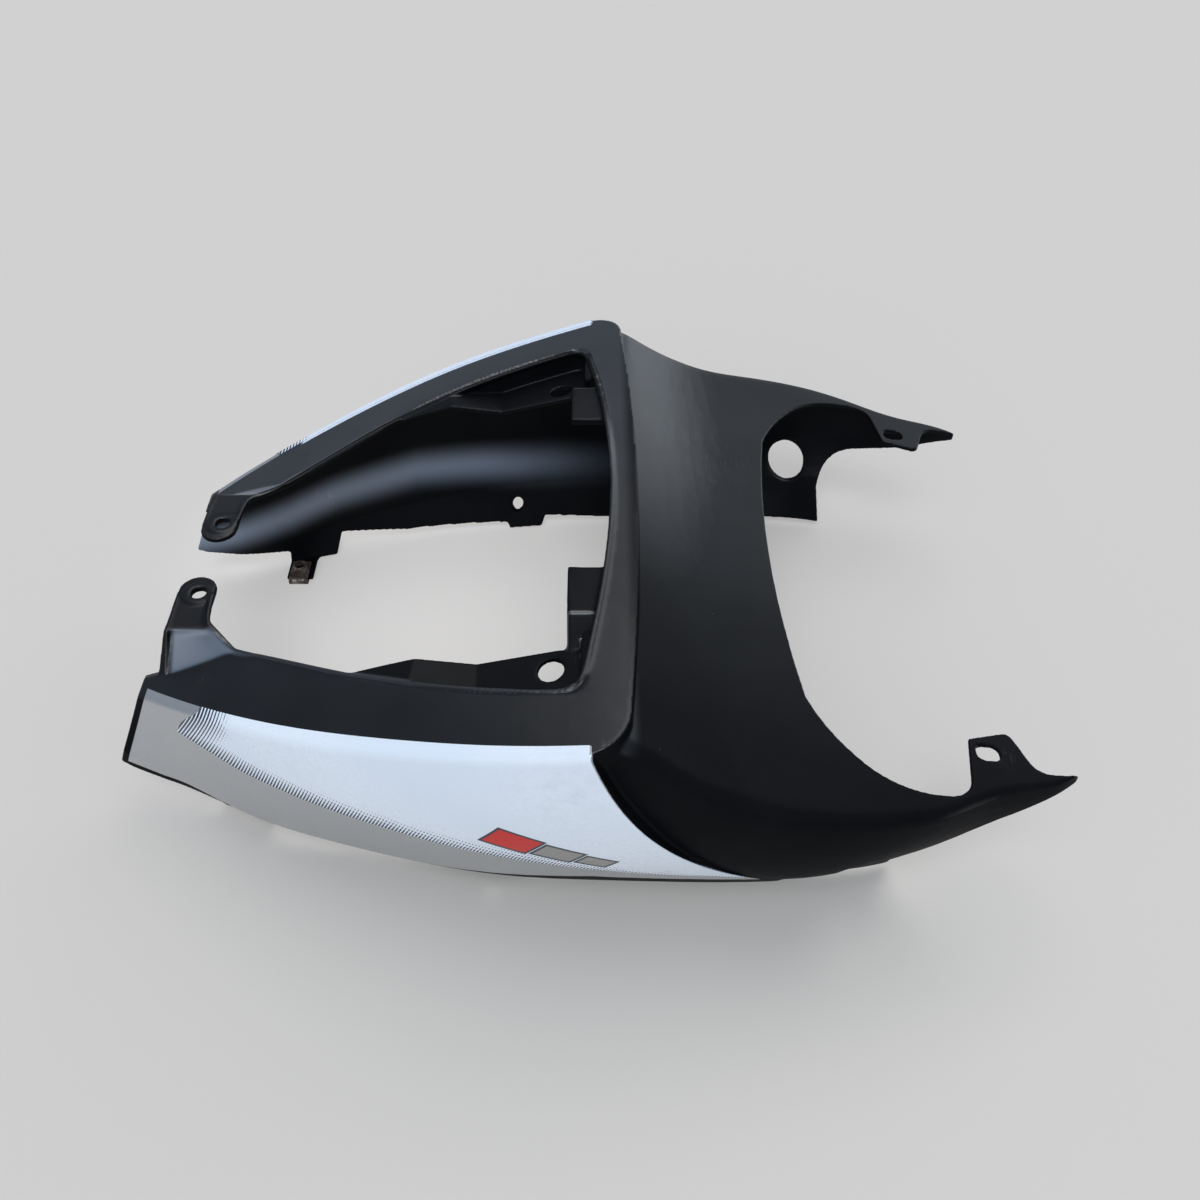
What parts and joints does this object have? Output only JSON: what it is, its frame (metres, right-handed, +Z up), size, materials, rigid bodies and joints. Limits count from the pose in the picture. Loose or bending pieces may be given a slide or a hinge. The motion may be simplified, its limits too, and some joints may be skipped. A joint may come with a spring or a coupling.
{
  "type": "motorcycle tail fairing",
  "caption": "Moulded tail fairing with a seat opening between two side arms, a raised bridge, a lower rear deck and a cut-out for the tail light.",
  "frame": {"origin": "on the floor, on the middle plane, midway along the length", "axes": "+X from the front to the tail, +Y to the rider's right, +Z up; the part is the same on both sides of the XZ plane"},
  "size_m": [0.3999, 0.2941, 0.124],
  "materials": {
    "moulded_black": "satin, with silver paint on the side panels",
    "white_film": "gloss self-adhesive film",
    "spring_steel": "dull, lightly rusted"
  },
  "bodies": {
    "root": {"cowl_shell": "moulded_black", "side_film_left": "white_film", "side_film_right": "white_film", "clip_nut_left": "spring_steel", "clip_nut_right": "spring_steel"}
  },
  "joints": []
}
